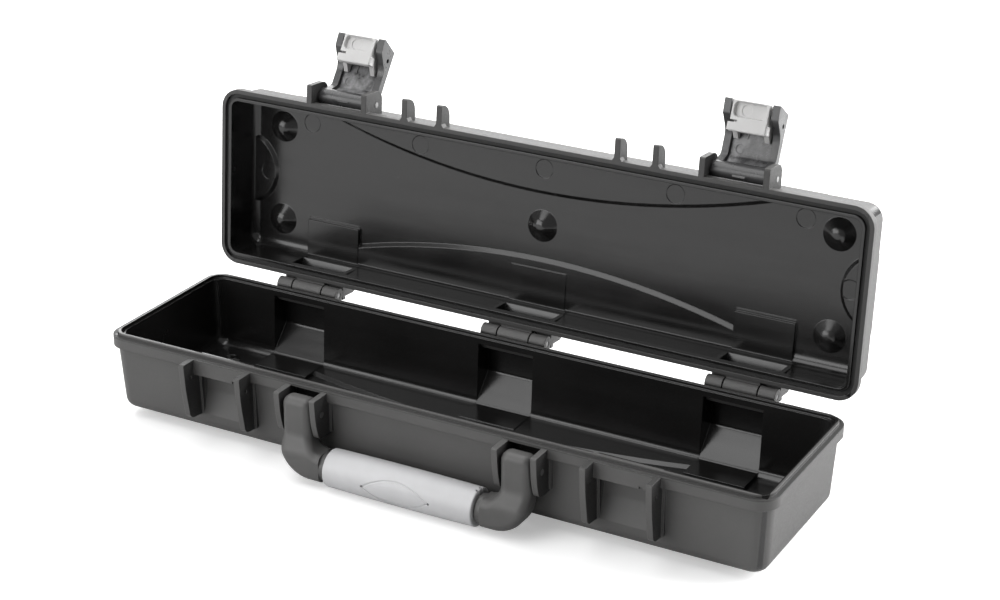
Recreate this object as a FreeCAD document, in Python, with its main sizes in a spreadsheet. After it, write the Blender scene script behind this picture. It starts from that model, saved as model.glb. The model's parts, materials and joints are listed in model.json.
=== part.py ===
import FreeCAD
import Part
import math
import os
import re
import Sketcher

# Hard tool case with a hinged lid, two flip latches with sprung hooks and a hanging carry handle.
# Millimetres, +Z up, length along X, hinges at +Y, latches and handle at -Y.
# The origin is on the floor, under the middle foot. The lid stands open and the latches are flipped up.

# Driving sizes: lengths in mm, angles in degrees
SIZES = {
    # Case plan and base
    "rim_length": 400.0,
    "rim_width": 105.4,
    "rim_corner": 11.5,
    "flange_height": 6.0,
    "flange_reach": 2.6,
    "wall_draft": 2.9,
    "foot_height": 5.5,
    "body_depth": 44.5,
    "base_wall": 3.4,
    "base_floor": 3.6,
    "bottom_round": 6.0,
    "cavity_corner": 6.5,
    "cavity_round": 5.5,
    "tongue_inset": 2.65,
    "tongue_width": 1.9,
    "tongue_height": 1.8,
    # Feet and the dishes that core them
    "foot_inset_x": 26.8,
    "foot_inset_y": 24.4,
    "foot_tip_radius": 5.6,
    "foot_root_radius": 8.5,
    "foot_tip_round": 2.0,
    "dish_depth": 6.2,
    "dish_tip_radius": 3.2,
    "dish_mouth_radius": 6.0,
    # Lid
    "lid_gap": 0.3,
    "lid_depth": 28.2,
    "lid_flange_height": 4.7,
    "lid_wall": 2.2,
    "lid_top": 2.3,
    "lid_round": 6.0,
    "lip_reach": 6.6,
    "groove_clearance": 0.35,
    "groove_depth": 3.1,
    "seal_thickness": 1.2,
    "seal_clearance": 0.05,
    "bump_height": 4.5,
    "bump_tip_radius": 2.8,
    "bump_tip_round": 6.0,
    "bump_root_radius": 9.2,
    "dimple_depth": 4.6,
    "dimple_tip_radius": 3.0,
    "dimple_mouth_radius": 6.9,
    # Curved fields pressed into the floor and the lid
    "field_step": 1.7,
    "field_slope": 50.0,
    "field_apex": 18.5,
    "field_inset": 35.4,
    "field_sink": 1.6,
    "end_apex": 23.4,
    "end_radius": 22.2,
    "print_step": 0.45,
    "print_reach": 23.3,
    "mark_radius": 5.6,
    "mark_depth": 0.3,
    "mark_inset": 19.4,
    "mark_pitch": 79.7,
    "mark_outer_inset": 46.0,
    "mark_end": 17.5,
    # Hinges
    "hinge_inset": 63.2,
    "hinge_reach": 5.57,
    "hinge_lift": 0.1,
    "open_angle": 95.0,
    "knuckle_radius": 4.25,
    "knuckle_middle": 19.3,
    "knuckle_side": 10.5,
    "knuckle_gap": 0.8,
    "hinge_pin_radius": 1.5,
    "block_clearance": 0.35,
    "block_reach": 7.8,
    "block_drop": 21.0,
    "block_slope": 17.0,
    "lid_block_rise": 12.3,
    "lid_block_slope": 6.5,
    "block_wall": 2.7,
    "block_round": 3.0,
    "stop_height": 3.0,
    "stop_clearance": 0.15,
    "pocket_roof": 3.4,
    # Latch brackets on the lid and catches on the base
    "latch_inset": 78.2,
    "bracket_gap": 33.1,
    "bracket_plate": 3.3,
    "bracket_reach": 10.6,
    "bracket_height": 17.4,
    "bracket_round": 6.0,
    "latch_pivot_reach": 2.8,
    "latch_pivot_rise": 11.6,
    "latch_pin_radius": 1.6,
    "latch_pin_proud": 0.2,
    "rim_drop": 0.3,
    "catch_reach": 10.8,
    "catch_knee_drop": 16.0,
    "catch_knee_back": 1.1,
    "catch_tip_drop": 33.8,
    "catch_tip_back": 4.4,
    "catch_heel_drop": 35.4,
    "catch_curve": 110.0,
    "catch_corner": 4.0,
    "ledge_reach": 1.5,
    "ledge_depth": 7.4,
    "ledge_slot_place": 9.8,
    "ledge_slot_width": 2.2,
    "ledge_slot_height": 1.5,
    "ledge_slot_depth": 1.0,
    "rib_depth": 1.6,
    "rib_width": 1.0,
    "pocket_inset": 7.9,
    "pocket_knee_drop": 21.0,
    "pocket_wall": 2.8,
    "pocket_top_drop": 1.2,
    "dimple_drop": 9.7,
    "dimple_reach": 4.9,
    "dimple_radius": 1.1,
    "dimple_sink": 0.6,
    "root_width": 1.5,
    "root_proud": 0.7,
    # Latch lever, its hook and their pin
    "barrel_radius": 4.5,
    "barrel_play": 0.25,
    "lever_width": 31.2,
    "arm_thickness": 4.1,
    "lever_back": 8.7,
    "lever_plate": 2.4,
    "lever_length": 34.3,
    "lever_tip_rake": 3.2,
    "lever_tip_reach": 5.6,
    "lever_jaw": 29.2,
    "lever_waist": 21.0,
    "lever_waist_depth": 4.2,
    "lever_heel": 5.5,
    "lever_round": 3.0,
    "lever_jaw_round": 9.0,
    "window_start": 25.4,
    "hook_pin_length": 28.6,
    "hook_pin_radius": 1.25,
    "hook_pin_drop": 27.5,
    "hook_face": 6.4,
    "hook_back": 8.0,
    "hook_play": 1.3,
    "hook_lip_start": 20.3,
    "hook_lip_thickness": 3.4,
    "hook_lip_overhang": 1.2,
    "hook_lip_length": 5.1,
    "hook_notch": 1.7,
    "hook_notch_width": 2.3,
    "hook_length": 37.1,
    "hook_tip_rake": 2.6,
    "hook_heel": 17.8,
    "hook_leg": 2.7,
    "hook_skin": 1.2,
    "hook_hollow_end": 31.0,
    "hook_skin_start": 26.6,
    "finger_recess_start": 27.8,
    "finger_recess_end": 36.2,
    "finger_recess_half": 9.2,
    "finger_recess_depth": 2.3,
    "finger_recess_corner": 2.8,
    "finger_recess_slope": 16.0,
    "lever_mark_place": 6.1,
    "lever_mark_drop": 12.4,
    "lever_mark_radius": 2.4,
    "mark_small_radius": 2.9,
    "mark_small_offset": 2.5,
    "slot_place": 25.6,
    "slot_height": 1.3,
    "slot_length": 3.9,
    "slot_depth": 6.5,
    "tab_length": 7.4,
    "tab_half": 0.6,
    "latch_lean_left": 31.0,
    "latch_lean_right": 18.6,
    # Spring on the hook's pin
    "spring_wire": 0.6,
    "spring_clearance": 0.23,
    "spring_pitch": 1.05,
    "spring_leg_back": 9.6,
    "spring_leg_front": 6.6,
    # Handle and its brackets
    "handle_inset": 134.1,
    "handle_bracket_gap": 19.0,
    "handle_bracket_plate": 3.3,
    "handle_bracket_reach": 12.3,
    "handle_bracket_drop": 1.0,
    "handle_knee_drop": 15.0,
    "handle_knee_back": 0.9,
    "handle_tip_drop": 24.7,
    "handle_tip_back": 4.0,
    "handle_heel_drop": 25.6,
    "handle_pivot_reach": 5.3,
    "handle_pivot_drop": 11.3,
    "handle_pin_radius": 1.75,
    "recess_top": 1.6,
    "recess_bottom": 22.2,
    "recess_inset": 4.5,
    "recess_wall": 2.8,
    "arm_play": 0.65,
    "arm_top_drop": 2.6,
    "arm_front": 6.7,
    "arm_back": 5.3,
    "arm_round": 4.4,
    "arm_top_front": 4.0,
    "arm_top_back": 6.0,
    "elbow_outer": 19.0,
    "elbow_inner": 7.5,
    "shoulder_drop": 24.0,
    "shoulder_slope": 7.0,
    "shoulder_curve": 9.0,
    "grip_drop": 38.5,
    "grip_forward": 3.6,
    "neck_half": 8.0,
    "neck_gap": 0.6,
    "neck_length": 12.0,
    "grip_end_radius": 10.5,
    "grip_middle_radius": 10.9,
    "oval_length": 41.0,
    "oval_knee": 14.6,
    "oval_arc_share": 0.97,
    "oval_groove": 0.9,
    "oval_depth": 0.28,
    "oval_hole_radius": 0.75,
    "oval_hole_depth": 1.8,
    "oval_hole_inset": 0.4,
    "notch_width": 1.3,
    "notch_depth": 1.6,
    "notch_pitch": 3.6,
    "core_radius": 6.0,
    "core_clearance": 0.05,
    # Small fins of the lid above the handle's brackets
    "fin_reach": 12.3,
    "fin_height": 9.0,
    "fin_slope": 0.8,
    "fin_round": 8.1,
    "fin_foot": 1.2,
    "edge_round": 0.9,
    # Fits and cuts
    "press_clearance": 0.02,
    "running_clearance": 0.06,
    "overrun": 5.0,
    "merge": 1.5,
}

# How near two coordinates lie to count as one
NEAR = 1e-4

doc = FreeCAD.newDocument("tool_case")
sheet = doc.addObject("Spreadsheet::Sheet", "Sizes")
for row, (alias, size) in enumerate(SIZES.items(), start=1):
    sheet.set(f"A{row}", alias)
    sheet.set(f"B{row}", str(size))
    sheet.setAlias(f"B{row}", alias)
doc.recompute()

# Places that several pieces share, as formulas of the sheet's sizes
RIM = "(foot_height + body_depth)"
HALF_LENGTH = "(rim_length / 2)"
HALF_WIDTH = "(rim_width / 2)"
HINGE_Y = "(rim_width / 2 + hinge_reach)"
HINGE_Z = f"({RIM} + hinge_lift)"
LID_BOTTOM = f"({RIM} + lid_gap)"
LID_OUTSIDE = f"({RIM} + lid_depth)"
LATCH_Y = "(-(rim_width / 2) - latch_pivot_reach)"
LATCH_Z = f"({RIM} + latch_pivot_rise)"
HANDLE_Y = "(-(rim_width / 2) - handle_pivot_reach)"
HANDLE_Z = f"({RIM} - handle_pivot_drop)"
BASE_DRAFT = "(tan(wall_draft) * (body_depth - flange_height))"
LID_DRAFT = "(tan(wall_draft) * (lid_depth - lid_flange_height))"
HOOK_PIN_BACK = ("(lever_back - lever_plate - hook_pin_radius - spring_clearance"
                 " - spring_wire - press_clearance)")
LATCH_X = f"({HALF_LENGTH} - latch_inset)"
HANDLE_X = f"({HALF_LENGTH} - handle_inset)"
ARM_OUTER = f"({HANDLE_X} + handle_bracket_gap / 2 - arm_play)"
ARM_INNER = f"({HANDLE_X} - handle_bracket_gap / 2 + arm_play)"
GRIP_HALF = f"({ARM_INNER} - neck_length)"
BARREL_SHARES = (1, 0.8, 0.6, 0.4, 0.2, 0, -0.2, -0.4, -0.6, -0.8, -1)
SIDES = {"left": -1, "right": 1}
HINGES = {"left": f"(hinge_inset - {HALF_LENGTH})", "middle": "(0)", "right": f"({HALF_LENGTH} - hinge_inset)"}


def bound(text):
    """A formula with each size named as the document reads it."""
    return re.sub(r"[a-z][a-z_]+",
                  lambda word: "Sizes." + word.group() if word.group() in SIZES else word.group(), text)


def value(text):
    """The number that a formula gives now."""
    return float(sheet.evalExpression(bound(text)))


def new_body(label):
    """An empty body whose label names its file."""
    body = doc.addObject("PartDesign::Body", label)
    body.Label = label
    return body


def host(target, name):
    """The body that takes a feature: the target, or a new body where the target is a list of solids."""
    if not isinstance(target, list):
        return target
    body = new_body(name + "_solid")
    target.append(body)
    return body


def primitive(target, name, kind, cut):
    """A plain solid in a body, or on its own where the target is a list of solids."""
    if isinstance(target, list):
        solid = doc.addObject("Part::" + kind, name)
        target.append(solid)
        return solid
    return target.newObject("PartDesign::" + ("Subtractive" if cut else "Additive") + kind, name)


def joined(name, base, solids):
    """One solid from a base and the solids that it gains."""
    whole = doc.addObject("Part::MultiFuse", name)
    whole.Label = name
    whole.Shapes = [base] + solids
    whole.Refine = True
    return whole


def hollowed(name, base, solids):
    """What is left of a base once the solids are taken from it."""
    tools = doc.addObject("Part::MultiFuse", name + "_cuts")
    tools.Shapes = solids
    return difference(name, base, tools)


def difference(name, base, tool):
    """A base without the part of it that a tool covers."""
    left_over = doc.addObject("Part::Cut", name)
    left_over.Label = name
    left_over.Base = base
    left_over.Tool = tool
    left_over.Refine = True
    return left_over


def mirrored(side, near, far):
    """The low and high X of a span that lies from near to far on one side of the middle."""
    if side > 0:
        return f"({near})", f"({far})"
    return f"(-({far}))", f"(-({near}))"


def around(centre, half):
    """The low and high ends of a span about its centre."""
    return f"({centre} - ({half}))", f"({centre} + ({half}))"


def drawn_loop(sketch, corners):
    """One closed loop of lines through corners (x, y) or (x, y, radius), all tied to formulas."""
    points = [FreeCAD.Vector(value(corner[0]), value(corner[1]), 0) for corner in corners]
    radii = [value(corner[2]) if len(corner) > 2 else 0.0 for corner in corners]
    count = len(corners)
    starts = []
    ends = []
    arcs = []
    for index in range(count):
        before = (points[index] - points[index - 1]).normalize()
        after = (points[(index + 1) % count] - points[index]).normalize()
        if radii[index] == 0.0:
            starts.append(points[index])
            ends.append(points[index])
            arcs.append(None)
            continue
        turn = math.atan2(before.x * after.y - before.y * after.x, before.dot(after))
        trim = radii[index] * math.tan(abs(turn) / 2)
        start = points[index] - before * trim
        left = FreeCAD.Vector(-before.y, before.x, 0) * math.copysign(radii[index], turn)
        starts.append(start)
        ends.append(points[index] + after * trim)
        arcs.append((start + left, turn))
    lines = []
    for index in range(count):
        lines.append(sketch.addGeometry(Part.LineSegment(ends[index], starts[(index + 1) % count])))
    for index in range(count):
        line_in = lines[index - 1]
        line_out = lines[index]
        if arcs[index] is None:
            sketch.addConstraint(Sketcher.Constraint("Coincident", line_in, 2, line_out, 1))
            tie_point(sketch, line_out, 1, corners[index])
            continue
        centre, turn = arcs[index]
        first, last = (starts[index], ends[index]) if turn > 0 else (ends[index], starts[index])
        angles = [math.atan2(point.y - centre.y, point.x - centre.x) for point in (first, last)]
        circle = Part.Circle(centre, FreeCAD.Vector(0, 0, 1), radii[index])
        arc = sketch.addGeometry(Part.ArcOfCircle(circle, angles[0], angles[1]))
        near_end, far_end = (1, 2) if turn > 0 else (2, 1)
        corner_point = sketch.addGeometry(Part.Point(points[index]), True)
        sketch.addConstraint(Sketcher.Constraint("PointOnObject", corner_point, 1, line_in))
        sketch.addConstraint(Sketcher.Constraint("PointOnObject", corner_point, 1, line_out))
        sketch.addConstraint(Sketcher.Constraint("Tangent", line_in, 2, arc, near_end))
        sketch.addConstraint(Sketcher.Constraint("Tangent", arc, far_end, line_out, 1))
        number = sketch.addConstraint(Sketcher.Constraint("Radius", arc, radii[index]))
        sketch.setExpression(f"Constraints[{number}]", bound(corners[index][2]))
        tie_point(sketch, corner_point, 1, corners[index])


def tie_point(sketch, geometry, end, corner):
    """Ties one sketch point to the formulas of its place."""
    for kind, text in zip(("DistanceX", "DistanceY"), corner):
        number = sketch.addConstraint(Sketcher.Constraint(kind, -1, 1, geometry, end, value(text)))
        sketch.setExpression(f"Constraints[{number}]", bound(text))


def new_sketch(body, name, plane, offset):
    """A sketch on one of the body's own origin planes, moved along the plane's normal."""
    sketch = body.newObject("Sketcher::SketchObject", name)
    support = [feature for feature in body.Origin.OriginFeatures if feature.Role == plane][0]
    sketch.AttachmentSupport = [(support, "")]
    sketch.MapMode = "FlatFace"
    sketch.setExpression("AttachmentOffset.Base.z", bound(offset))
    return sketch


def grown(body, name, sketch, length, cut=False, back=False, taper=None):
    """A pad, or a pocket where cut is set, along the sketch's normal or back against it."""
    feature = body.newObject("PartDesign::Pocket" if cut else "PartDesign::Pad", name)
    feature.Profile = sketch
    feature.setExpression("Length", bound(length))
    feature.Reversed = cut != back
    if taper is not None:
        feature.setExpression("TaperAngle", bound(taper))
    return feature


def prism(target, name, plane, start, end, loops, cut=False, taper=None, back=False):
    """A straight solid between two levels of a plane. The sketch is drawn at start."""
    body = host(target, name)
    offset = f"(-({start}))" if plane == "XZ_Plane" else start
    length = f"({end} - ({start}))"
    if back or plane == "XZ_Plane":
        length = f"({start} - ({end}))"
    sketch = new_sketch(body, name + "_outline", plane, offset)
    for corners in loops:
        drawn_loop(sketch, corners)
    return grown(body, name, sketch, length, cut, back, taper)


def side_prism(target, name, span, corners, cut=False):
    """A profile in Y and Z, drawn out along X over a span."""
    return prism(target, name, "YZ_Plane", span[0], span[1], [corners], cut)


def box(target, name, span_x, span_y, span_z, cut=False):
    """A block between the low and high formulas of the three axes."""
    feature = primitive(target, name, "Box", cut)
    for axis, size, (low, high) in zip("xyz", ("Length", "Width", "Height"), (span_x, span_y, span_z)):
        feature.setExpression(f"Placement.Base.{axis}", bound(low))
        feature.setExpression(size, bound(f"({high}) - ({low})"))
    return feature


def rod(target, name, span, y, z, radius, cut=False):
    """A cylinder along X."""
    feature = primitive(target, name, "Cylinder", cut)
    feature.Placement.Rotation = FreeCAD.Rotation(FreeCAD.Vector(0, 1, 0), 90)
    for axis, text in zip("xyz", (span[0], y, z)):
        feature.setExpression(f"Placement.Base.{axis}", bound(text))
    feature.setExpression("Height", bound(f"({span[1]}) - ({span[0]})"))
    feature.setExpression("Radius", bound(radius))
    return feature


def peg(target, name, x, z, span, radius, cut=False):
    """A cylinder along Y."""
    feature = primitive(target, name, "Cylinder", cut)
    feature.Placement.Rotation = FreeCAD.Rotation(FreeCAD.Vector(1, 0, 0), -90)
    for axis, text in zip("xyz", (x, span[0], z)):
        feature.setExpression(f"Placement.Base.{axis}", bound(text))
    feature.setExpression("Height", bound(f"({span[1]}) - ({span[0]})"))
    feature.setExpression("Radius", bound(radius))
    return feature


def cone(target, name, x, y, low, high, low_radius, high_radius, cut=False):
    """An upright cone frustum."""
    feature = primitive(target, name, "Cone", cut)
    for axis, text in zip("xyz", (x, y, low)):
        feature.setExpression(f"Placement.Base.{axis}", bound(text))
    feature.setExpression("Height", bound(f"({high}) - ({low})"))
    feature.setExpression("Radius1", bound(low_radius))
    feature.setExpression("Radius2", bound(high_radius))
    return feature


def rounded(body, name, radius, test):
    """Rounds the edges of the body's tip that pass the test."""
    doc.recompute()
    base = body.Tip
    names = [f"Edge{number}" for number, edge in enumerate(base.Shape.Edges, start=1) if test(edge)]
    feature = body.newObject("PartDesign::Fillet", name)
    feature.Base = (base, names)
    feature.setExpression("Radius", bound(radius))
    return feature


def centred_rectangle(half_x, half_y, radius=None):
    """The corners of a rectangle about the origin, round where a radius is given."""
    signs = ((-1, -1), (1, -1), (1, 1), (-1, 1))
    corners = [(f"({x} * {half_x})", f"({y} * {half_y})") for x, y in signs]
    return [corner + (radius,) for corner in corners] if radius else corners


def rim_loop(inset):
    """The rim's outline moved in by an inset."""
    return centred_rectangle(f"({HALF_LENGTH} - {inset})", f"({HALF_WIDTH} - {inset})", f"(rim_corner - {inset})")


def tray(body, outside, plate, wall, draft_shift, rim, outer_round, up):
    """The drafted tub of the base (up is 1) or the lid (up is -1), hollow, with its corners round.

    outside is the level of its closed face, and rim the level where the tub opens."""
    half = [f"({edge} - flange_reach - {draft_shift})" for edge in (HALF_LENGTH, HALF_WIDTH)]
    prism(body, "tub", "XY_Plane", outside, rim, [centred_rectangle(*half)], taper="wall_draft", back=up < 0)
    rounded(body, "tub_corners", "rim_corner - flange_reach", is_upright)
    outside_level = value(outside)
    rounded(body, "tub_edges", outer_round, lambda edge: lies_at(edge, outside_level))
    floor = f"({outside} + {up} * {plate})"
    hollow = [f"({text} + tan(wall_draft) * {plate} - {wall})" for text in half]
    mouth = f"({rim} + {up} * overrun)"
    hollow_loop = centred_rectangle(*hollow, "cavity_corner")
    prism(body, "hollow", "XY_Plane", floor, mouth, [hollow_loop], True, "wall_draft", up < 0)
    floor_level = value(floor)
    rounded(body, "hollow_edges", "cavity_round", lambda edge: lies_at(edge, floor_level))
    return floor


def middle(edge):
    """The middle of an edge's box."""
    return edge.BoundBox.Center


def is_upright(edge):
    """Whether a straight edge runs mostly along Z."""
    run = edge.Vertexes[-1].Point - edge.Vertexes[0].Point
    return abs(run.z) > 3 * math.hypot(run.x, run.y)


def lies_at(edge, level):
    """Whether a whole edge lies at one level of Z."""
    return abs(edge.BoundBox.ZMin - level) < NEAR and abs(edge.BoundBox.ZMax - level) < NEAR


def arc_field(target, name, level, height, apex, radius, edge, along_x, side, up, taper=None):
    """A circle segment that swells from one edge of a floor towards its middle."""
    body = host(target, name)
    swell = f"({edge} - {apex})"
    half_chord = f"(sqrt({radius}^2 - ({radius} - {swell})^2))"
    sketch = new_sketch(body, name + "_outline", "XY_Plane", level)
    ends = []
    for sign in (-1, 1):
        chord = f"({sign} * {half_chord})"
        far = f"({side} * {edge})"
        ends.append((chord, far) if along_x else (far, chord))
    start, end = [FreeCAD.Vector(value(x), value(y), 0) for x, y in ends]
    centre_place = value(f"{side} * ({apex} + {radius})")
    top_place = value(f"{side} * {apex}")
    top = FreeCAD.Vector(0, top_place, 0) if along_x else FreeCAD.Vector(top_place, 0, 0)
    centre = FreeCAD.Vector(0, centre_place, 0) if along_x else FreeCAD.Vector(centre_place, 0, 0)
    spin = (start - centre).cross(top - centre).z
    first, last = (start, end) if spin > 0 else (end, start)
    angles = [math.atan2(point.y - centre.y, point.x - centre.x) for point in (first, last)]
    circle = Part.Circle(centre, FreeCAD.Vector(0, 0, 1), value(radius))
    arc = sketch.addGeometry(Part.ArcOfCircle(circle, angles[0], angles[1]))
    chord_line = sketch.addGeometry(Part.LineSegment(start, end))
    start_end, end_end = (1, 2) if spin > 0 else (2, 1)
    sketch.addConstraint(Sketcher.Constraint("Coincident", arc, start_end, chord_line, 1))
    sketch.addConstraint(Sketcher.Constraint("Coincident", arc, end_end, chord_line, 2))
    tie_point(sketch, chord_line, 1, ends[0])
    tie_point(sketch, chord_line, 2, ends[1])
    number = sketch.addConstraint(Sketcher.Constraint("Radius", arc, value(radius)))
    sketch.setExpression(f"Constraints[{number}]", bound(radius))
    return grown(body, name, sketch, height, False, up < 0, taper)


def pressed_fields(adds, cuts, part, outside, floor, wall, draft_shift, up):
    """Curved fields stepped into a floor from outside, along its four edges."""
    slope = "(field_step * tan(field_slope))"
    swell = f"({HALF_WIDTH} - flange_reach - {draft_shift} - {wall} + field_sink - field_apex)"
    long_radius = f"((({HALF_LENGTH} - field_inset)^2 + {swell}^2) / (2 * {swell}))"
    for place, along_x, side, half, apex, radius in (
            ("front", True, -1, HALF_WIDTH, "field_apex", long_radius),
            ("back", True, 1, HALF_WIDTH, "field_apex", long_radius),
            ("left", False, -1, HALF_LENGTH, f"({HALF_LENGTH} - end_apex)", "end_radius"),
            ("right", False, 1, HALF_LENGTH, f"({HALF_LENGTH} - end_apex)", "end_radius")):
        wall_outside = f"({half} - flange_reach - {draft_shift})"
        inner_edge = f"({wall_outside} - {wall} + field_sink)"
        sunk = f"({floor} - {up} * field_sink / 2)"
        arc_field(adds, f"{part}_{place}_field_root", sunk, "field_sink / 2", apex, radius, inner_edge,
                  along_x, side, up)
        arc_field(adds, f"{part}_{place}_field", floor, "field_step", apex, radius, inner_edge,
                  along_x, side, up, "-field_slope")
        outer_edge = f"({wall_outside} - bottom_round - merge)"
        arc_field(cuts, f"{part}_{place}_field_outside", outside, "field_step", f"({apex} + {slope})", radius,
                  outer_edge, along_x, side, up)


def hinge_prints(adds, part, floor, wall, draft_shift, up):
    """The faint raised print that the mould leaves between each hinge pocket and the floor's middle."""
    wall_inside = f"({HALF_WIDTH} - flange_reach - {draft_shift} - {wall} / 2)"
    for hinge, centre in HINGES.items():
        span = around(centre, "(knuckle_middle / 2 + knuckle_side - block_wall)")
        for level, near, height in (("low", "print_reach", "print_step"),
                                    ("high", "(print_reach + merge)", "(field_step + print_step)")):
            levels = (floor, f"({floor} + {height})") if up > 0 else (f"({floor} - {height})", floor)
            box(adds, f"{part}_{hinge}_print_{level}", span, (near, wall_inside), levels)


def hinge_knuckles(adds, cuts, part, halves, bore_clearance, up):
    """Hinge barrels with the webs that carry them, between a near and a far distance from each hinge's middle."""
    near, far = halves
    web_near = f"({RIM} + {up} * (rim_drop + merge / 10))"
    web_far = f"({RIM} + {up} * (knuckle_radius + block_clearance + merge))"
    web = (web_near, web_far) if up > 0 else (web_far, web_near)
    for hinge, centre in HINGES.items():
        spans = [(f"({centre} - {far})", f"({centre} - {near})"), (f"({centre} + {near})", f"({centre} + {far})")]
        if up > 0:
            spans = [(f"({centre} - {far})", f"({centre} + {far})")]
        for number, span in enumerate(spans):
            box(adds, f"{part}_{hinge}_web_{number}", span, (f"({HALF_WIDTH} - merge)", HINGE_Y), web)
            rod(adds, f"{part}_{hinge}_knuckle_{number}", span, HINGE_Y, HINGE_Z, "knuckle_radius")
        reach = "(knuckle_middle / 2 + knuckle_side + overrun)"
        rod(cuts, f"{part}_{hinge}_pin_bore", around(centre, reach), HINGE_Y, HINGE_Z,
            f"(hinge_pin_radius + {bore_clearance})")


def hinge_blocks(adds, cuts, part, drop, slope, wall_inside, lip, up):
    """The hollow block under or over each hinge, which swells from the back wall."""
    outer = f"({HALF_WIDTH} + block_reach)"
    top = f"({HINGE_Z} + {up} * (knuckle_radius + block_clearance))"
    low = f"({top} + {up} * {drop})"
    root = f"({low} + {up} * {slope})"
    half = "(knuckle_middle / 2 + knuckle_side - knuckle_gap / 3)"
    root_y = f"({HALF_WIDTH} - flange_reach - merge * 2)"
    near = f"({wall_inside} - merge * 2.5)"
    roof_corner = f"({HALF_WIDTH} - flange_reach - merge)"
    roof_near = f"({RIM} + {up} * {lip})"
    roof_far = f"({top} + {up} * block_wall)"
    cored = f"({outer} - block_wall)"
    stop_reach = "((knuckle_radius + block_clearance) / tan(open_angle / 2) - stop_clearance)"
    stop_end = f"({top} + {up} * stop_height)"
    stop_span = (top, stop_end) if up > 0 else (stop_end, top)
    for hinge, centre in HINGES.items():
        side_prism(adds, f"{part}_{hinge}_block", around(centre, half),
                   [(root_y, top), (outer, top), (outer, low, "block_round"), (root_y, root)])
        box(adds, f"{part}_{hinge}_stop", around(centre, half),
            (f"({outer} - merge)", f"({HINGE_Y} + {stop_reach})"), stop_span)
        side_prism(cuts, f"{part}_{hinge}_block_pocket", around(centre, f"({half} - block_wall)"),
                   [(near, roof_near), (roof_corner, roof_near),
                    (f"({HALF_WIDTH} - merge)", roof_far), (cored, roof_far),
                    (cored, f"({low} - {up} * block_wall / 2)", "block_round"),
                    (near, f"({root} - {up} * block_wall)")])


def build_base():
    """Base shell: tub, flange, tongue, feet, catches, handle brackets and hinge blocks in one moulding."""
    tub = new_body("base_tub")
    floor = tray(tub, "foot_height", "base_floor", "base_wall", BASE_DRAFT, RIM, "bottom_round", 1)
    walls = []
    pockets = []
    details = []
    holes = []
    flange = (f"({RIM} - flange_height)", RIM)
    prism(walls, "base_flange", "XY_Plane", *flange, [rim_loop("0"), rim_loop("(flange_reach + base_wall / 2)")])
    prism(details, "base_tongue", "XY_Plane", f"({RIM} - merge)", f"({RIM} + tongue_height)",
          [rim_loop("tongue_inset"), rim_loop("(tongue_inset + tongue_width)")])
    pressed_fields(walls, pockets, "base", "foot_height", floor, "base_wall", BASE_DRAFT, 1)
    hinge_prints(walls, "base", floor, "base_wall", BASE_DRAFT, 1)
    base_feet(walls, holes, floor)
    for side_name, side in SIDES.items():
        catch(walls, pockets, details, holes, side_name, side)
        handle_bracket(walls, pockets, details, holes, side_name, side)
    wall_inside = f"({HALF_WIDTH} - flange_reach - base_wall)"
    hinge_blocks(walls, pockets, "base", "block_drop", "block_slope", wall_inside, "pocket_roof", -1)
    halves = ("(knuckle_middle / 2 + knuckle_gap)", "(knuckle_middle / 2 + knuckle_side)")
    hinge_knuckles(details, holes, "base", halves, "press_clearance", -1)
    shell = joined("base_walls", tub, walls)
    shell = hollowed("base_pockets", shell, pockets)
    shell = joined("base_details", shell, details)
    return hollowed("base_shell", shell, holes)


def foot_places():
    """The plan places that feet and lid bumps share."""
    places = {"middle": ("0", "0")}
    for side_name, side in SIDES.items():
        for row_name, row_side in (("front", -1), ("back", 1)):
            places[f"{row_name}_{side_name}"] = (f"({side} * ({HALF_LENGTH} - foot_inset_x))",
                                                 f"({row_side} * ({HALF_WIDTH} - foot_inset_y))")
    return places


def base_feet(adds, cuts, floor):
    """Feet with a dish in each."""
    for name, (x, y) in foot_places().items():
        foot = host(adds, f"{name}_foot")
        cone(foot, f"{name}_foot", x, y, "0", "foot_height", "foot_tip_radius", "foot_root_radius")
        rounded(foot, f"{name}_foot_tip", "foot_tip_round", lambda edge: lies_at(edge, 0.0))
        cone(foot, f"{name}_foot_root", x, y, "foot_height", "(foot_height + base_floor / 2)",
             "foot_root_radius", "foot_root_radius")
        cone(cuts, f"{name}_dish", x, y, f"({floor} - dish_depth)", f"({floor} + field_step)",
             "dish_tip_radius", "dish_mouth_radius")


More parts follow.
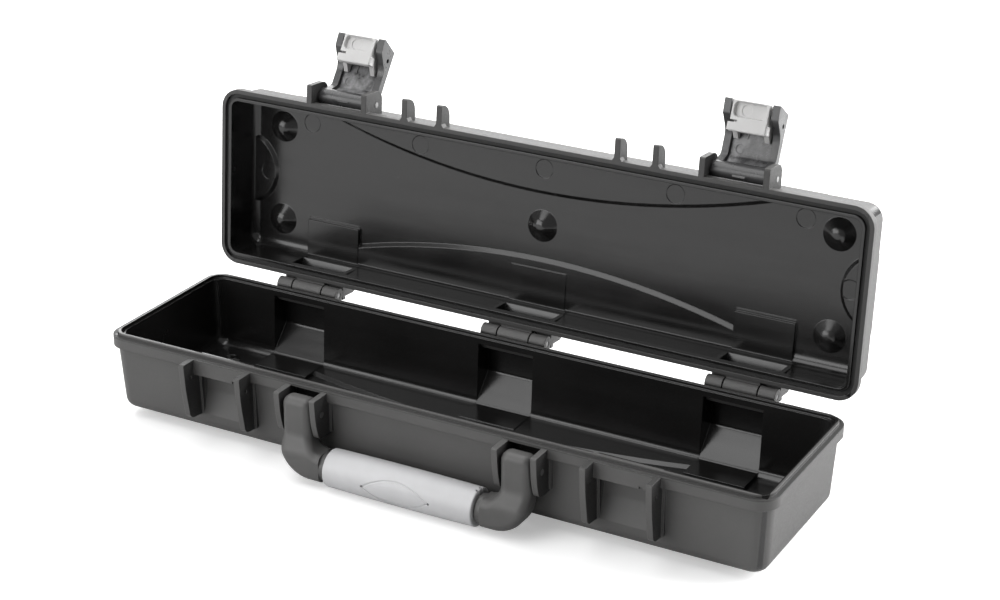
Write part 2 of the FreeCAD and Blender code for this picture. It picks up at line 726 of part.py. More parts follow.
def catch(walls, pockets, details, holes, side_name, side):
    """One catch: a walled pocket under a ledge with a rib, between two guard fins."""
    centre = f"({side} * {LATCH_X})"
    front = f"(-{HALF_WIDTH} - ledge_reach)"
    pocket_back = f"(-{HALF_WIDTH} + pocket_inset)"
    ledge_bottom = f"({RIM} - ledge_depth)"
    knee = f"({RIM} - pocket_knee_drop)"
    heel = f"({RIM} - catch_heel_drop)"
    wall_at_heel = f"(-{HALF_WIDTH} + flange_reach + tan(wall_draft) * (catch_heel_drop - flange_height))"
    top = f"({RIM} - rim_drop)"
    inner = f"(-{HALF_WIDTH} + flange_reach + merge)"
    walled = around(centre, "(bracket_gap / 2 + pocket_wall)")
    walled_back = f"({pocket_back} + pocket_wall)"
    roof = f"({RIM} - pocket_top_drop)"
    side_prism(walls, f"{side_name}_pocket_wall", walled,
               [(inner, roof), (inner, heel), (f"({wall_at_heel} + base_wall - merge / 5)", heel),
                (walled_back, knee), (walled_back, roof)])
    gap = around(centre, "(bracket_gap / 2)")
    beyond = f"({front} - overrun * 2)"
    between = around(centre, "(bracket_gap / 2 - root_width)")
    side_prism(pockets, f"{side_name}_catch_pocket", between,
               [(beyond, ledge_bottom), (beyond, heel), (f"({wall_at_heel} - merge / 5)", heel),
                (pocket_back, knee, "cavity_round"), (pocket_back, ledge_bottom)])
    rib_back = f"({front} + rib_width)"
    rib_bottom = f"({ledge_bottom} - rib_depth)"
    side_prism(details, f"{side_name}_ledge", around(centre, "(bracket_gap / 2 + bracket_plate / 2)"),
               [(front, top), (inner, top), (inner, ledge_bottom), (rib_back, ledge_bottom),
                (rib_back, rib_bottom), (front, rib_bottom)])
    guard = f"(-{HALF_WIDTH} - catch_reach)"
    fin_root = f"({pocket_back} - merge / 2)"
    fin = [(guard, top, "edge_round"),
           (f"({guard} + catch_knee_back)", f"({RIM} - catch_knee_drop)", "catch_curve"),
           (f"({guard} + catch_tip_back)", f"({RIM} - catch_tip_drop)", "catch_corner"),
           (fin_root, heel),
           (fin_root, top)]
    plate = "(bracket_gap / 2 + bracket_plate)"
    for name, low, high in (("near", f"({centre} - {plate})", gap[0]), ("far", gap[1], f"({centre} + {plate})")):
        side_prism(details, f"{side_name}_{name}_fin", (low, high), fin)
        rod(holes, f"{side_name}_{name}_fin_dimple", (f"({high} - dimple_sink)", f"({high} + dimple_sink)"),
            f"(-{HALF_WIDTH} - dimple_reach)", f"({RIM} - dimple_drop)", "dimple_radius")
    plate_roots(details, f"{side_name}_catch", centre, plate, heel)
    slot_centre = f"({centre} + ledge_slot_place)"
    box(holes, f"{side_name}_ledge_slot", around(slot_centre, "ledge_slot_width / 2"),
        (f"({front} - overrun)", f"({front} + ledge_slot_depth)"),
        (f"({rib_bottom} - overrun)", f"({rib_bottom} + ledge_slot_height)"))


def plate_roots(details, name, centre, plate, low):
    """Low strips on the wall along the outer sides of a pair of plates."""
    strip = (f"(-{HALF_WIDTH} + flange_reach - root_proud)", f"(-{HALF_WIDTH} + flange_reach + merge * 2)")
    levels = (f"({low} + merge)", f"({RIM} - flange_height + merge)")
    box(details, f"{name}_near_root", (f"({centre} - {plate} - root_width)", f"({centre} - {plate} + merge)"),
        strip, levels)
    box(details, f"{name}_far_root", (f"({centre} + {plate} - merge)", f"({centre} + {plate} + root_width)"),
        strip, levels)


def handle_bracket(walls, pockets, details, holes, side_name, side):
    """Two plates that carry one handle pin, with a recess for the arm's swing between them."""
    centre = f"({side} * {HANDLE_X})"
    gap = around(centre, "(handle_bracket_gap / 2)")
    recess_back = f"(-{HALF_WIDTH} + recess_inset)"
    recess = (f"({RIM} - recess_bottom)", f"({RIM} - recess_top)")
    box(walls, f"{side_name}_recess_wall", around(centre, "(handle_bracket_gap / 2 + recess_wall)"),
        (recess_back, f"({recess_back} + recess_wall)"), (f"({recess[0]} - recess_wall)", recess[1]))
    box(pockets, f"{side_name}_arm_recess", gap, (f"({recess_back} - overrun * 3)", recess_back), recess)
    guard = f"(-{HALF_WIDTH} - handle_bracket_reach)"
    root = f"(-{HALF_WIDTH} + flange_reach + merge)"
    top = f"({RIM} - handle_bracket_drop)"
    plate_profile = [(guard, top, "edge_round"),
                     (f"({guard} + handle_knee_back)", f"({RIM} - handle_knee_drop)", "catch_curve / 2"),
                     (f"({guard} + handle_tip_back)", f"({RIM} - handle_tip_drop)", "catch_corner"),
                     (root, f"({RIM} - handle_heel_drop)"),
                     (root, top)]
    plate = "(handle_bracket_gap / 2 + handle_bracket_plate)"
    for name, low, high in (("near", f"({centre} - {plate})", gap[0]), ("far", gap[1], f"({centre} + {plate})")):
        side_prism(details, f"{side_name}_{name}_plate", (low, high), plate_profile)
    plate_roots(details, f"{side_name}_handle", centre, plate, f"({RIM} - handle_heel_drop)")
    rod(holes, f"{side_name}_handle_bore", around(centre, f"({plate} + overrun / 5)"), HANDLE_Y, HANDLE_Z,
        "(handle_pin_radius + press_clearance)")


def build_lid():
    """Lid shell, drawn closed: tub, flange, seal groove, brackets, fins, bumps and hinge blocks."""
    tub = new_body("lid_tub")
    floor = tray(tub, LID_OUTSIDE, "lid_top", "lid_wall", LID_DRAFT, LID_BOTTOM, "lid_round", -1)
    walls = []
    pockets = []
    details = []
    holes = []
    flange = (LID_BOTTOM, f"({RIM} + lid_flange_height)")
    prism(walls, "lid_flange", "XY_Plane", *flange, [rim_loop("0"), rim_loop("(flange_reach + lid_wall / 2)")])
    prism(walls, "lid_inner_lip", "XY_Plane", *flange,
          [rim_loop("(flange_reach + lid_wall / 3)"), rim_loop("lip_reach")])
    pressed_fields(walls, pockets, "lid", LID_OUTSIDE, floor, "lid_wall", LID_DRAFT, -1)
    hinge_prints(walls, "lid", floor, "lid_wall", LID_DRAFT, -1)
    lid_bumps(walls, holes, floor)
    lid_marks(holes, floor)
    for side_name, side in SIDES.items():
        latch_bracket(details, holes, side_name, side)
        handle_fins(details, side_name, side)
    wall_inside = f"({HALF_WIDTH} - flange_reach - lid_wall - merge)"
    hinge_blocks(walls, pockets, "lid", "lid_block_rise", "lid_block_slope", wall_inside,
                 "(lid_flange_height + merge / 5)", 1)
    hinge_knuckles(details, holes, "lid", ("0", "(knuckle_middle / 2)"), "running_clearance", 1)
    groove_out = "(tongue_inset - groove_clearance)"
    groove_in = "(tongue_inset + tongue_width + groove_clearance)"
    prism(holes, "seal_groove", "XY_Plane", f"({LID_BOTTOM} - overrun)", f"({LID_BOTTOM} + groove_depth)",
          [rim_loop(groove_out), rim_loop(groove_in)])
    shell = joined("lid_walls", tub, walls)
    shell = hollowed("lid_pockets", shell, pockets)
    shell = joined("lid_details", shell, details)
    return hollowed("lid_shell", shell, holes)


def lid_bumps(adds, cuts, floor):
    """Bumps inside the lid, dimpled outside so that the feet of a case above find them."""
    tip = f"({floor} - bump_height)"
    tip_level = value(tip)
    for name, (x, y) in foot_places().items():
        bump = host(adds, f"{name}_bump")
        cone(bump, f"{name}_bump", x, y, tip, floor, "bump_tip_radius", "bump_root_radius")
        rounded(bump, f"{name}_bump_tip", "bump_tip_round", lambda edge: lies_at(edge, tip_level))
        cone(bump, f"{name}_bump_root", x, y, floor, f"({floor} + lid_top / 2)", "bump_root_radius",
             "bump_root_radius")
        cone(cuts, f"{name}_dimple", x, y, f"({LID_OUTSIDE} - dimple_depth)", LID_OUTSIDE,
             "dimple_tip_radius", "dimple_mouth_radius")


def lid_marks(cuts, floor):
    """Round ejector marks sunk a little into the lid's inside."""
    raised = f"({floor} - field_step)"
    row = f"(mark_inset - {HALF_WIDTH})"
    places = [("middle", "0", row, raised)]
    for side_name, side in SIDES.items():
        places.append((f"{side_name}_inner", f"({side} * mark_pitch)", row, raised))
        places.append((f"{side_name}_outer", f"({side} * ({HALF_LENGTH} - mark_outer_inset))", row, floor))
        places.append((f"{side_name}_end", f"({side} * ({HALF_LENGTH} - mark_end))", "0", raised))
    for name, x, y, level in places:
        cone(cuts, f"{name}_mark", x, y, f"({level} - mark_depth)", f"({level} + mark_depth)",
             "mark_radius", "(mark_radius - mark_depth)")


def latch_bracket(details, holes, side_name, side):
    """Two plates on the lid that carry one latch pin."""
    centre = f"({side} * {LATCH_X})"
    guard = f"(-{HALF_WIDTH} - bracket_reach)"
    root = f"(-{HALF_WIDTH} + flange_reach + merge / 2)"
    top = f"({LID_BOTTOM} + bracket_height)"
    profile = [(root, LID_BOTTOM), (guard, LID_BOTTOM, "edge_round"), (guard, top, "bracket_round"), (root, top)]
    gap = around(centre, "(bracket_gap / 2)")
    plate = "(bracket_gap / 2 + bracket_plate)"
    side_prism(details, f"{side_name}_near_bracket", (f"({centre} - {plate})", gap[0]), profile)
    side_prism(details, f"{side_name}_far_bracket", (gap[1], f"({centre} + {plate})"), profile)
    rod(holes, f"{side_name}_latch_bore", around(centre, f"({plate} + overrun)"), LATCH_Y, LATCH_Z,
        "(latch_pin_radius + press_clearance)")


def handle_fins(details, side_name, side):
    """Two small fins on the lid in line with one handle bracket."""
    guard = f"(-{HALF_WIDTH} - fin_reach)"
    root = f"(-{HALF_WIDTH} + flange_reach + merge / 2)"
    top = f"({LID_BOTTOM} + fin_height)"
    profile = [(root, LID_BOTTOM), (guard, LID_BOTTOM, "edge_round"), (guard, top, "fin_round"),
               (root, f"({top} + fin_slope)")]
    inner = f"(-{HALF_WIDTH} + flange_reach)"
    front = f"(-{HALF_WIDTH})"
    before = f"(-{HALF_WIDTH} - fin_foot * 1.5)"
    near = f"({HANDLE_X} - handle_bracket_gap / 2)"
    far = f"({HANDLE_X} + handle_bracket_gap / 2)"
    for name, low, high in (("near", f"({near} - handle_bracket_plate)", near),
                            ("far", far, f"({far} + handle_bracket_plate)")):
        side_prism(details, f"{side_name}_{name}_lid_fin", mirrored(side, low, high), profile)
        foot_low, foot_high = mirrored(side, f"({low} - fin_foot)", f"({high} + fin_foot)")
        fin_low, fin_high = mirrored(side, low, high)
        prism(details, f"{side_name}_{name}_fin_foot", "XY_Plane", LID_BOTTOM, f"({RIM} + lid_flange_height)",
              [[(foot_low, inner), (foot_low, front), (fin_low, before), (fin_high, before), (foot_high, front),
                (foot_high, inner)]])


def build_seal():
    """Flat rubber seal at the bottom of the lid's groove."""
    body = new_body("lid_seal")
    top = f"({LID_BOTTOM} + groove_depth)"
    outer = rim_loop("(tongue_inset - groove_clearance + seal_clearance)")
    inner = rim_loop("(tongue_inset + tongue_width + groove_clearance - seal_clearance)")
    prism(body, "seal_ring", "XY_Plane", f"({top} - seal_thickness)", top, [outer, inner])
    return body


def build_lever(label):
    """Latch lever, drawn hanging from its pivot at the origin: barrel, back plate and two jaws."""
    body = new_body(label)
    heel = ("(-barrel_radius * 0.95)", "(barrel_radius / 4)")
    back = "(-lever_back)"
    arm = [heel,
           (back, "(-lever_heel)", "lever_round"),
           (back, "(-lever_length)"),
           ("lever_tip_reach", "(-lever_length - lever_tip_rake)", "edge_round"),
           ("(lever_tip_reach - edge_round)", "(-lever_jaw)", "edge_round * 2"),
           ("(-lever_waist_depth)", "(-lever_waist)", "lever_jaw_round"),
           ("(-lever_waist_depth)", "(-lever_heel - lever_round)", "lever_round"),
           ("(barrel_radius * 0.8)", "(-barrel_radius / 2)")]
    half = "(lever_width / 2)"
    for side_name, side in SIDES.items():
        side_prism(body, f"{side_name}_arm", mirrored(side, f"({half} - arm_thickness)", half), arm)
    plate_inside = "(-lever_back + lever_plate)"
    plate = [heel,
             (back, "(-lever_heel)", "lever_round"),
             (back, "(-window_start)"),
             (plate_inside, "(-window_start)"),
             (plate_inside, "(-lever_heel - lever_round)", "lever_round"),
             ("(-barrel_radius / 3)", "(-barrel_radius * 0.7)")]
    side_prism(body, "back_plate", around("0", half), plate)
    rod(body, "barrel", around("0", "(bracket_gap / 2 - barrel_play)"), "0", "0", "barrel_radius")
    box(body, "barrel_tab", around("0", "tab_length / 2"),
        ("(barrel_radius * 0.5)", "(barrel_radius * 0.9)"), around("(barrel_radius * 0.54)", "tab_half"))
    peg(body, "plate_mark", "(-lever_mark_place)", "(-lever_mark_drop)",
        (f"({plate_inside} - mark_depth)", f"({plate_inside} + merge)"), "lever_mark_radius", True)
    rod(body, "latch_bore", around("0", "bracket_gap"), "0", "0", "(latch_pin_radius + running_clearance)", True)
    rod(body, "hook_bore", around("0", "lever_width"), f"(-{HOOK_PIN_BACK})", "(-hook_pin_drop)",
        "(hook_pin_radius + press_clearance)", True)
    return body


def build_hook(label):
    """Hook and finger pull in one piece, drawn like the lever: lip, legs, hollow and finger recess."""
    body = new_body(label)
    half = "(lever_width / 2 - arm_thickness - hook_play)"
    lip_back = "(hook_face - hook_lip_thickness)"
    notch_level = "(-hook_lip_start - hook_notch)"
    before_plate = "(lever_plate + hook_play / 2 - lever_back)"
    profile = [("hook_face", "(-hook_lip_start)", "edge_round"),
               (lip_back, "(-hook_lip_start)"),
               (lip_back, notch_level),
               (f"({lip_back} - hook_notch_width)", notch_level),
               (f"(-{HOOK_PIN_BACK})", "(-hook_heel + hook_play / 3)"),
               (before_plate, "(-hook_heel)"),
               (before_plate, "(-hook_skin_start)"),
               ("(-hook_back)", "(-hook_skin_start)"),
               ("(-hook_back)", "(-hook_length + hook_tip_rake)", "edge_round"),
               ("hook_face", "(-hook_length)", "edge_round")]
    side_prism(body, "hook_block", around("0", half), profile)
    box(body, "lip", around("0", f"({half} + hook_lip_overhang)"), (lip_back, "(hook_face - edge_round / 2)"),
        ("(-hook_lip_start - hook_lip_length)", "(-hook_lip_start - edge_round / 2)"))
    hollow = around("0", f"({half} - hook_leg)")
    box(body, "hollow", hollow, ("(-hook_back + hook_skin)", lip_back),
        ("(-hook_hollow_end)", "(-hook_heel + overrun)"), True)
    recess = [(f"({x} * finger_recess_half)", f"(-finger_recess_{end})", "finger_recess_corner")
              for x, end in ((-1, "end"), (1, "end"), (1, "start"), (-1, "start"))]
    prism(body, "finger_recess", "XZ_Plane", "hook_face", "(hook_face - finger_recess_depth)", [recess], True,
          "-finger_recess_slope")
    peg(body, "finger_mark", "(-mark_small_offset)", "(-(finger_recess_start + finger_recess_end) / 2)",
        ("(hook_face - finger_recess_depth - mark_depth)", "hook_face"), "mark_small_radius", True)
    box(body, "side_slot", (f"(-{half} - overrun)", f"(-{half} + slot_length)"),
        ("(hook_face - slot_depth)", "(hook_face + overrun)"),
        around("(-slot_place)", "slot_height / 2"), True)
    rod(body, "hook_bore", around("0", "lever_width"), f"(-{HOOK_PIN_BACK})", "(-hook_pin_drop)",
        "(hook_pin_radius + running_clearance)", True)
    return body


def build_handle():
    """Handle frame, drawn hanging: two arms with elbows, joined by a core bar inside the grip."""
    body = new_body("handle_frame")
    top = f"({RIM} - arm_top_drop)"
    axis_y = f"({HANDLE_Y} - grip_forward)"
    axis_z = f"({RIM} - grip_drop)"
    neck = f"({ARM_INNER} - elbow_inner - edge_round)"
    front = f"({HANDLE_Y} - arm_front)"
    back = f"({HANDLE_Y} + arm_back)"
    neck_front = f"({axis_y} - neck_half)"
    neck_back = f"({axis_y} + neck_half)"
    low = f"({axis_z} - neck_half)"
    high = f"({axis_z} + neck_half)"
    for side_name, side in SIDES.items():
        corners = [(ARM_OUTER, top), (ARM_OUTER, low, "elbow_outer"), (neck, low),
                   (neck, high), (ARM_INNER, high, "elbow_inner"), (ARM_INNER, top)]
        sided = [(f"({side} * {corner[0]})",) + corner[1:] for corner in corners]
        prism(body, f"{side_name}_arm", "XZ_Plane", back, neck_front, [sided])
    shoulder = f"({RIM} - shoulder_drop)"
    elbow = f"({shoulder} - shoulder_slope)"
    past_top = f"({top} + overrun)"
    past_low = f"({low} - overrun)"
    reach = f"({ARM_OUTER} + overrun)"
    for name, face, neck_face, sign in (("front", front, neck_front, -1), ("back", back, neck_back, 1)):
        beyond = f"({back if sign > 0 else neck_front} + {sign} * overrun)"
        trim = [(beyond, past_top), (face, past_top), (face, shoulder, "shoulder_curve"),
                (neck_face, elbow, "shoulder_curve"), (neck_face, past_low), (beyond, past_low)]
        side_prism(body, f"{name}_trim", around("0", reach), trim, True)
    top_level = value(top)
    middle_y = value(HANDLE_Y)
    for name, radius, sign in (("front", "arm_top_front", -1), ("back", "arm_top_back", 1)):
        rounded(body, f"{name}_top_edges", radius,
                lambda edge: lies_at(edge, top_level) and edge.BoundBox.YLength < NEAR
                and sign * (middle(edge).y - middle_y) > 0)
    neck_level = value(neck)
    high_level = value(high)

    def is_long_edge(edge):
        """Whether an edge bounds an arm's side, rather than crossing its front, its back or its neck."""
        edge_box = edge.BoundBox
        along_y = edge_box.XLength < NEAR and edge_box.ZLength < NEAR
        at_neck = edge_box.XLength < NEAR and abs(abs(middle(edge).x) - neck_level) < NEAR
        crossing = edge_box.YLength < NEAR and edge_box.ZLength < NEAR and middle(edge).z > high_level + NEAR
        return not (along_y or at_neck or crossing)

    rounded(body, "arm_edges", "arm_round", is_long_edge)
    for side_name, side in SIDES.items():
        rod(body, f"{side_name}_neck", mirrored(side, f"({GRIP_HALF} + neck_gap)", f"({neck} + merge)"),
            axis_y, axis_z, "neck_half")
    rod(body, "core", around("0", f"({neck} + merge)"), axis_y, axis_z, "core_radius")
    rod(body, "pivot_bore", around("0", reach), HANDLE_Y, HANDLE_Z, "(handle_pin_radius + running_clearance)", True)
    return body


def barrel(name, sink):
    """Barrel-shaped sleeve about its own X axis, with its outer surface sunk by a depth."""
    body = new_body(name)
    bore = "(core_radius + core_clearance)"
    corners = [(f"(-{GRIP_HALF})", bore), (GRIP_HALF, bore)]
    for share in BARREL_SHARES:
        fall = f"(grip_middle_radius - grip_end_radius) * {share ** 2:.4f}"
        corners.append((f"({share} * {GRIP_HALF})", f"(grip_middle_radius - {sink} - {fall})"))
    sketch = new_sketch(body, f"{name}_outline", "XY_Plane", "0")
    drawn_loop(sketch, corners)
    turned = body.newObject("PartDesign::Revolution", f"{name}_turned")
    turned.Profile = sketch
    axis = [feature for feature in body.Origin.OriginFeatures if feature.Role == "X_Axis"][0]
    turned.ReferenceAxis = (axis, [""])
    turned.Angle = 360
    return body


def lens(half, knee):
    """A lens outline of two arcs whose end tangents cross at a knee over and under its middle."""
    radius = f"({half} * sqrt({half}^2 + {knee}^2) / {knee} * oval_arc_share)"
    return [(f"(-{half})", "0"), ("0", f"(-{knee})", radius), (half, "0"), ("0", knee, radius)]


def build_grip():
    """Grip sleeve: a barrel with notched ends, an oval groove in its face and a hole at each end of the oval."""
    sleeve = barrel("grip_barrel", "0")
    end_level = value(GRIP_HALF)
    bore_reach = value("core_radius + grip_end_radius")
    rounded(sleeve, "sleeve_ends", "edge_round",
            lambda edge: edge.BoundBox.XLength < NEAR and abs(abs(middle(edge).x) - end_level) < NEAR
            and edge.BoundBox.YLength > bore_reach)
    for side_name, side in SIDES.items():
        end = mirrored(side, f"{GRIP_HALF} - notch_depth", f"{GRIP_HALF} + overrun")
        for row_name, row in (("front", -1), ("back", 1)):
            box(sleeve, f"{side_name}_{row_name}_notch", end, around(f"({row} * notch_pitch / 2)", "notch_width / 2"),
                ("core_radius", "(grip_middle_radius + overrun)"), True)
    ring = new_body("oval_ring")
    loops = [lens("(oval_length / 2)", "oval_knee"),
             lens("(oval_length / 2 - oval_groove * 2)", "(oval_knee - oval_groove * 1.2)")]
    front = "(-grip_middle_radius - overrun)"
    prism(ring, "oval_band", "XZ_Plane", "0", front, loops)
    cuts = [difference("oval_cut", ring, barrel("sunk_barrel", "oval_depth"))]
    for side_name, side in SIDES.items():
        peg(cuts, f"{side_name}_oval_hole", f"({side} * (oval_length / 2 - oval_hole_inset))", "0",
            (front, "(oval_hole_depth - grip_middle_radius)"), "oval_hole_radius")
    return hollowed("grip_sleeve", sleeve, cuts)


def build_pin(label, radius, length):
    """A plain pin about its own X axis, centred on its origin."""
    pin = doc.addObject("Part::Cylinder", label)
    pin.Label = label
    pin.setExpression("Radius", bound(radius))
    pin.setExpression("Height", bound(length))
    return pin


def biarc(start, start_run, end, end_run):
    """Two arcs that join two points with the given unit tangents."""
    chord = end - start
    tangents = start_run + end_run
    square = 4 - tangents.dot(tangents)
    lean = chord.dot(tangents)
    arm = (math.sqrt(lean ** 2 + square * chord.dot(chord)) - lean) / square
    knee = start + start_run * arm
    other_knee = end - end_run * arm
    joint = (knee + other_knee) * 0.5
    return [arc_by_knee(start, knee, joint), arc_by_knee(joint, other_knee, end)]


def arc_by_knee(start, knee, end):
    """The arc from start to end whose tangents cross at the knee."""
    chord_middle = (start + end) * 0.5
    half_chord = (end - start).Length / 2
    rise = (knee - chord_middle).Length
    sagitta = half_chord * math.tan(math.atan2(rise, half_chord) / 2)
    crown = chord_middle + (knee - chord_middle).normalize() * sagitta
    return Part.Arc(start, crown, end).toShape()


def build_spring(label):
    """Torsion spring wound about its own X axis, with one leg for the lever and one for the hook."""
    radius = value("hook_pin_radius + spring_clearance + spring_wire / 2")
    pitch = value("spring_pitch")
    wire = value("spring_wire") / 2
    quarter_turns = 17
    slope = pitch / (2 * math.pi)
    step = math.pi / 2
    last_angle = quarter_turns * step

    def place(angle):
        """A point of the coil, which starts at its -Y side."""
        return FreeCAD.Vector(slope * (angle - last_angle / 2), -radius * math.cos(angle), -radius * math.sin(angle))

    def run(angle):
        """The coil's direction at a point."""
        return FreeCAD.Vector(slope, radius * math.sin(angle), -radius * math.cos(angle)).normalize()

    edges = []
    for quarter in range(quarter_turns):
        low, high = quarter * step, (quarter + 1) * step
        edges += biarc(place(low), run(low), place(high), run(high))
    first = place(0) - run(0) * value("spring_leg_back")
    last = place(last_angle) + run(last_angle) * value("spring_leg_front")
    edges.insert(0, Part.LineSegment(first, place(0)).toShape())
    edges.append(Part.LineSegment(place(last_angle), last).toShape())
    section = Part.Wire(Part.Circle(first, run(0), wire).toShape())
    coil = Part.Wire(edges).makePipeShell([section], True, False)
    print(f"{label}: {quarter_turns / 4} turns, least gap between turns {pitch - 2 * wire:.2f} mm")
    spring = doc.addObject("Part::Feature", label)
    spring.Label = label
    spring.Shape = coil
    return spring


def turned_about_x(angle, y, z):
    """A turn about an axis along X through a point, as a placement."""
    centre = FreeCAD.Vector(0, y, z)
    return FreeCAD.Placement(FreeCAD.Vector(0, 0, 0), FreeCAD.Rotation(FreeCAD.Vector(1, 0, 0), angle), centre)


def lid_placement():
    """From the closed lid to the open one."""
    return turned_about_x(-value("open_angle"), value(HINGE_Y), value(HINGE_Z))


def latch_placement(side_name, side):
    """From a latch drawn hanging at the origin to the latch flipped up on the open lid."""
    pivot = FreeCAD.Placement(FreeCAD.Vector(side * value(LATCH_X), value(LATCH_Y), value(LATCH_Z)),
                              FreeCAD.Rotation())
    flipped = turned_about_x(-90 - value(f"latch_lean_{side_name}"), 0, 0)
    return lid_placement().multiply(pivot).multiply(flipped)


def pin_placement(length, x, y, z):
    """A pin's own frame, which starts at its end and runs along Z, to a place on an axis along X."""
    along_x = FreeCAD.Rotation(FreeCAD.Vector(0, 1, 0), 90)
    return FreeCAD.Placement(FreeCAD.Vector(x - value(length) / 2, y, z), along_x)


def build_all():
    """Every piece, placed as the case stands open."""
    pieces = [build_base()]
    lid = build_lid()
    lid.Placement = lid_placement()
    seal = build_seal()
    seal.Placement = lid_placement()
    pieces += [lid, seal]
    knuckles = "(knuckle_middle + 2 * knuckle_side - knuckle_gap / 2)"
    for hinge, centre in HINGES.items():
        pin = build_pin(f"hinge_pin_{hinge}", "hinge_pin_radius", knuckles)
        pin.Placement = pin_placement(knuckles, value(centre), value(HINGE_Y), value(HINGE_Z))
        pieces.append(pin)
    latch_pin_length = "(bracket_gap + 2 * bracket_plate + 2 * latch_pin_proud)"
    handle_pin_length = "(handle_bracket_gap + 2 * handle_bracket_plate)"
    for side_name, side in SIDES.items():
        latch = latch_placement(side_name, side)
        lever = build_lever(f"latch_lever_{side_name}")
        hook = build_hook(f"latch_hook_{side_name}")
        latch_pin = build_pin(f"latch_pin_{side_name}", "latch_pin_radius", latch_pin_length)
        hook_pin = build_pin(f"hook_pin_{side_name}", "hook_pin_radius", "hook_pin_length")
        spring = build_spring(f"hook_spring_{side_name}")
        lever.Placement = latch
        hook.Placement = latch
        latch_pin.Placement = latch.multiply(pin_placement(latch_pin_length, 0, 0, 0))
        hook_place = (0, -value(HOOK_PIN_BACK), -value("hook_pin_drop"))
        hook_pin.Placement = latch.multiply(pin_placement("hook_pin_length", *hook_place))
        spring.Placement = latch.multiply(FreeCAD.Placement(FreeCAD.Vector(*hook_place), FreeCAD.Rotation()))
        handle_pin = build_pin(f"handle_pin_{side_name}", "handle_pin_radius", handle_pin_length)
        handle_pin.Placement = pin_placement(handle_pin_length, side * value(HANDLE_X),
                                             value(HANDLE_Y), value(HANDLE_Z))
        pieces += [lever, hook, latch_pin, hook_pin, spring, handle_pin]
    handle = build_handle()
    grip = build_grip()
    grip.Placement.Base = FreeCAD.Vector(0, value(f"{HANDLE_Y} - grip_forward"), value(f"{RIM} - grip_drop"))
    pieces += [handle, grip]
    return pieces


def check(pieces):
    """Stops before anything is written if a feature failed, a cut missed or a shape is broken."""
    for item in doc.Objects:
        if "Invalid" in item.State or "Error" in item.State:
            raise RuntimeError(f"{item.Name} failed: {item.State}")
        base = None
        if item.TypeId.startswith(("PartDesign::Pocket", "PartDesign::Subtractive")):
            base = item.BaseFeature
        if item.TypeId == "Part::Cut":
            base = item.Base
        if base and not item.Shape.Volume < base.Shape.Volume:
            raise RuntimeError(f"{item.Name} removes nothing")
    for piece in pieces:
        shape = piece.Shape
        if shape.isNull() or not shape.isValid() or len(shape.Solids) != 1:
            raise RuntimeError(f"{piece.Label}: null, invalid or {len(shape.Solids)} solids")


parts = build_all()
doc.recompute()
check(parts)
os.makedirs("parts", exist_ok=True)
for part in parts:
    part.Shape.exportStep(f"parts/{part.Label}.step")
    solid_box = part.Shape.BoundBox
    print(f"{part.Label}: {part.Shape.Volume / 1000:.2f} cm3, y {solid_box.YMin:.1f} to {solid_box.YMax:.1f}, "
          f"z {solid_box.ZMin:.1f} to {solid_box.ZMax:.1f}")
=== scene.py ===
"""Looks of the hard tool case: the finish of every surface, the floor, the light and the camera."""

import json
import math

import bpy
from mathutils import Matrix, Vector

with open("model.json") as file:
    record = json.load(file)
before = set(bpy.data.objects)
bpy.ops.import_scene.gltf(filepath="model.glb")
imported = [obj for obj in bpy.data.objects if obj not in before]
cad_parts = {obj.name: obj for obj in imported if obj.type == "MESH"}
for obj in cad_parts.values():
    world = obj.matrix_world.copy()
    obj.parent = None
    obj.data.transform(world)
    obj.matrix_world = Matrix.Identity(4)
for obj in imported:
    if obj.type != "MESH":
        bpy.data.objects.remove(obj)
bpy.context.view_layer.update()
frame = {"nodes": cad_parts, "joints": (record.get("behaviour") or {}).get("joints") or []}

JOINTS = {joint["name"]: joint for joint in frame["joints"]}
OPEN_ANGLE = math.radians(JOINTS["lid_hinge"]["range_deg"][1])
HINGE = Vector(JOINTS["lid_hinge"]["pos_m"])

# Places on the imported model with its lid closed, in metres
RIM_LEVEL = 0.050
HALF_LENGTH = 0.200
HALF_WIDTH = 0.0527
CATCH_PLACE = 0.1218
CATCH_HALF = 0.0194
HINGE_PLACE = 0.1368
POCKET_HALF = 0.0176
POCKET_BACK = 0.0592
# The lever's plate lies between its arms and outside its barrel
PLATE_HALF = 0.0114
BARREL_REACH = 0.0058
# Painted shade darkens the side faces that lie ahead of this Y and nearer the middle than this X
SIDE_SHADE_FRONT = -0.0475
SIDE_SHADE_END = 0.165
# The middle surfaces of each shell's walls and floor, and where its hinge pockets end
BASE = {"up": 1, "draft": 0.0507, "flange_level": 0.044, "wall_middle": 0.0043, "catch_inset": 0.0036,
        "floor_level": 0.0072, "pocket_level": 0.0462}
LID = {"up": -1, "draft": 0.0507, "flange_level": 0.0547, "wall_middle": 0.0037, "catch_inset": 0.0,
       "floor_level": 0.0770, "pocket_level": 0.0548}
# A face is level where its direction's share along Z is larger than this
LEVEL_SHARE = 0.5
# The width over which one finish gives way to the next, in metres
SEAM = 0.0002

# Colours, linear
CASE_DARK = (0.060, 0.059, 0.058)
CASE_WORN = (0.095, 0.093, 0.090)
# The next colour is painted shade, darkening the cavity, the side faces of the fins and plates and a band at
# the rim
PAINTED_SHADE = (0.0075, 0.0073, 0.0072)
DUST = (0.45, 0.45, 0.44)
LEVER_DARK = (0.042, 0.042, 0.043)
# The next colour is partly smudging and partly a painted reflection on the levers' plates
LEVER_SMUDGE_AND_SHEEN = (0.27, 0.27, 0.275)
PULL_GREY = (0.50, 0.497, 0.493)
GRIP_GREY = (0.52, 0.52, 0.53)
RUBBER_DARK = (0.012, 0.012, 0.012)
RUBBER_BLOOM = (0.035, 0.035, 0.034)
PAPER = (0.90, 0.90, 0.90)
PAPER_LIGHT = (0.93, 0.93, 0.93)
PAPER_BOUNCE = (0.42, 0.42, 0.42)
WHITE = (1.0, 1.0, 1.0, 1.0)

